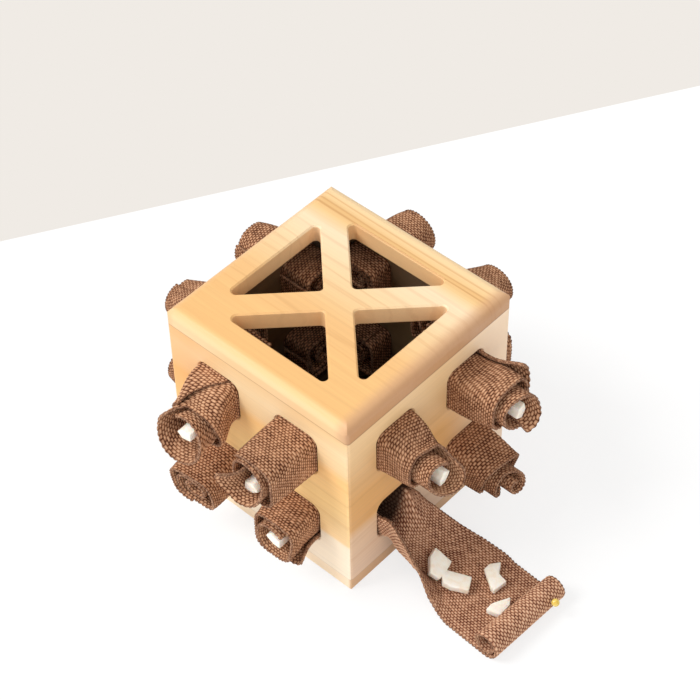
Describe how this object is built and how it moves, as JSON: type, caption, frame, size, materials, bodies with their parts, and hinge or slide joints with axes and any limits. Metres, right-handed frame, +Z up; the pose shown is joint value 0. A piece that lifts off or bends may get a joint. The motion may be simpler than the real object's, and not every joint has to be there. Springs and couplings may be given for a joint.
{
  "type": "dog puzzle feeder toy",
  "caption": "Wooden box with a windowed lid and square side holes that grip rolled webbing straps hiding treats; a strap lies unrolled beside it, its far end rolled up and pinned",
  "frame": {"origin": "on the floor, under the middle of the wooden box", "axes": "+Z up, -Y out of the front board, +X out of the right board, towards the laid-out strap"},
  "size_m": [0.2478, 0.1934, 0.124],
  "materials": {
    "wood_light": "smooth, lightly oiled softwood boards with visible grain",
    "webbing": "coarse woven brown cotton webbing, matte",
    "treat": "dry cut food, matte cream white",
    "bead": "glossy yellow bead",
    "needle": "plain steel wire"
  },
  "bodies": {
    "box": {"lid": "wood_light", "bottom_board": "wood_light", "front_board": "wood_light", "right_board": "wood_light", "back_board": "wood_light", "left_board": "wood_light"},
    "front_upper_left_roll": {"front_upper_left_strap": "webbing"},
    "front_upper_right_roll": {"front_upper_right_strap": "webbing"},
    "front_lower_left_roll": {"front_lower_left_strap": "webbing"},
    "front_lower_right_roll": {"front_lower_right_strap": "webbing"},
    "right_upper_front_roll": {"right_upper_front_strap": "webbing"},
    "right_upper_back_roll": {"right_upper_back_strap": "webbing"},
    "right_lower_back_roll": {"right_lower_back_strap": "webbing"},
    "back_upper_left_roll": {"back_upper_left_strap": "webbing"},
    "back_upper_right_roll": {"back_upper_right_strap": "webbing"},
    "back_lower_left_roll": {"back_lower_left_strap": "webbing"},
    "back_lower_right_roll": {"back_lower_right_strap": "webbing"},
    "left_upper_front_roll": {"left_upper_front_strap": "webbing"},
    "left_upper_back_roll": {"left_upper_back_strap": "webbing"},
    "left_lower_front_roll": {"left_lower_front_strap": "webbing"},
    "left_lower_back_roll": {"left_lower_back_strap": "webbing"},
    "laid_out": {"laid_out_strap": "webbing"},
    "front_upper_left_bite": {"front_upper_left_treat": "treat"},
    "front_upper_right_bite": {"front_upper_right_treat": "treat"},
    "front_lower_right_bite": {"front_lower_right_treat": "treat"},
    "right_upper_front_bite": {"right_upper_front_treat": "treat"},
    "right_upper_back_bite": {"right_upper_back_treat": "treat"},
    "near_hole_bite": {"laid_treat_near_hole": "treat"},
    "near_lip_bite": {"laid_treat_near_lip": "treat"},
    "far_side_bite": {"laid_treat_far_side": "treat"},
    "near_roll_bite": {"laid_treat_near_roll": "treat"},
    "pin": {"pin_bead": "bead", "pin_needle": "needle"}
  },
  "joints": [
    {"name": "front_upper_left_pull", "type": "slide", "parent": "box", "child": "front_upper_left_roll", "axis": [0, -1, 0], "range_m": [0, 0.02]},
    {"name": "front_upper_right_pull", "type": "slide", "parent": "box", "child": "front_upper_right_roll", "axis": [0, -1, 0], "range_m": [0, 0.02]},
    {"name": "front_lower_left_pull", "type": "slide", "parent": "box", "child": "front_lower_left_roll", "axis": [0, -1, 0], "range_m": [0, 0.02]},
    {"name": "front_lower_right_pull", "type": "slide", "parent": "box", "child": "front_lower_right_roll", "axis": [0, -1, 0], "range_m": [0, 0.02]},
    {"name": "right_upper_front_pull", "type": "slide", "parent": "box", "child": "right_upper_front_roll", "axis": [1, 0, 0], "range_m": [0, 0.02]},
    {"name": "right_upper_back_pull", "type": "slide", "parent": "box", "child": "right_upper_back_roll", "axis": [1, 0, 0], "range_m": [0, 0.02]},
    {"name": "right_lower_back_pull", "type": "slide", "parent": "box", "child": "right_lower_back_roll", "axis": [1, 0, 0], "range_m": [0, 0.02]},
    {"name": "back_upper_left_pull", "type": "slide", "parent": "box", "child": "back_upper_left_roll", "axis": [0, 1, 0], "range_m": [0, 0.02]},
    {"name": "back_upper_right_pull", "type": "slide", "parent": "box", "child": "back_upper_right_roll", "axis": [0, 1, 0], "range_m": [0, 0.02]},
    {"name": "back_lower_left_pull", "type": "slide", "parent": "box", "child": "back_lower_left_roll", "axis": [0, 1, 0], "range_m": [0, 0.02]},
    {"name": "back_lower_right_pull", "type": "slide", "parent": "box", "child": "back_lower_right_roll", "axis": [0, 1, 0], "range_m": [0, 0.02]},
    {"name": "left_upper_front_pull", "type": "slide", "parent": "box", "child": "left_upper_front_roll", "axis": [-1, 0, 0], "range_m": [0, 0.02]},
    {"name": "left_upper_back_pull", "type": "slide", "parent": "box", "child": "left_upper_back_roll", "axis": [-1, 0, 0], "range_m": [0, 0.02]},
    {"name": "left_lower_front_pull", "type": "slide", "parent": "box", "child": "left_lower_front_roll", "axis": [-1, 0, 0], "range_m": [0, 0.02]},
    {"name": "left_lower_back_pull", "type": "slide", "parent": "box", "child": "left_lower_back_roll", "axis": [-1, 0, 0], "range_m": [0, 0.02]},
    {"name": "laid_out_pull", "type": "slide", "parent": "box", "child": "laid_out", "axis": [1, 0, 0], "range_m": [0, 0.006]},
    {"name": "front_upper_left_drop", "type": "slide", "parent": "front_upper_left_roll", "child": "front_upper_left_bite", "axis": [0, -1, 0], "range_m": [0, 0.01]},
    {"name": "front_upper_right_drop", "type": "slide", "parent": "front_upper_right_roll", "child": "front_upper_right_bite", "axis": [0, -1, 0], "range_m": [0, 0.01]},
    {"name": "front_lower_right_drop", "type": "slide", "parent": "front_lower_right_roll", "child": "front_lower_right_bite", "axis": [0, -1, 0], "range_m": [0, 0.01]},
    {"name": "right_upper_front_drop", "type": "slide", "parent": "right_upper_front_roll", "child": "right_upper_front_bite", "axis": [1, 0, 0], "range_m": [0, 0.01]},
    {"name": "right_upper_back_drop", "type": "slide", "parent": "right_upper_back_roll", "child": "right_upper_back_bite", "axis": [1, 0, 0], "range_m": [0, 0.01]},
    {"name": "near_hole_lift", "type": "slide", "parent": "laid_out", "child": "near_hole_bite", "axis": [0, 0, 1], "range_m": [0, 0.03]},
    {"name": "near_lip_lift", "type": "slide", "parent": "laid_out", "child": "near_lip_bite", "axis": [0, 0, 1], "range_m": [0, 0.03]},
    {"name": "far_side_lift", "type": "slide", "parent": "laid_out", "child": "far_side_bite", "axis": [0, 0, 1], "range_m": [0, 0.03]},
    {"name": "near_roll_lift", "type": "slide", "parent": "laid_out", "child": "near_roll_bite", "axis": [0, 0, 1], "range_m": [0, 0.03]},
    {"name": "pin_pull", "type": "slide", "parent": "laid_out", "child": "pin", "axis": [0.9049, -0.0506, 0.4226], "range_m": [0, 0.014]}
  ]
}
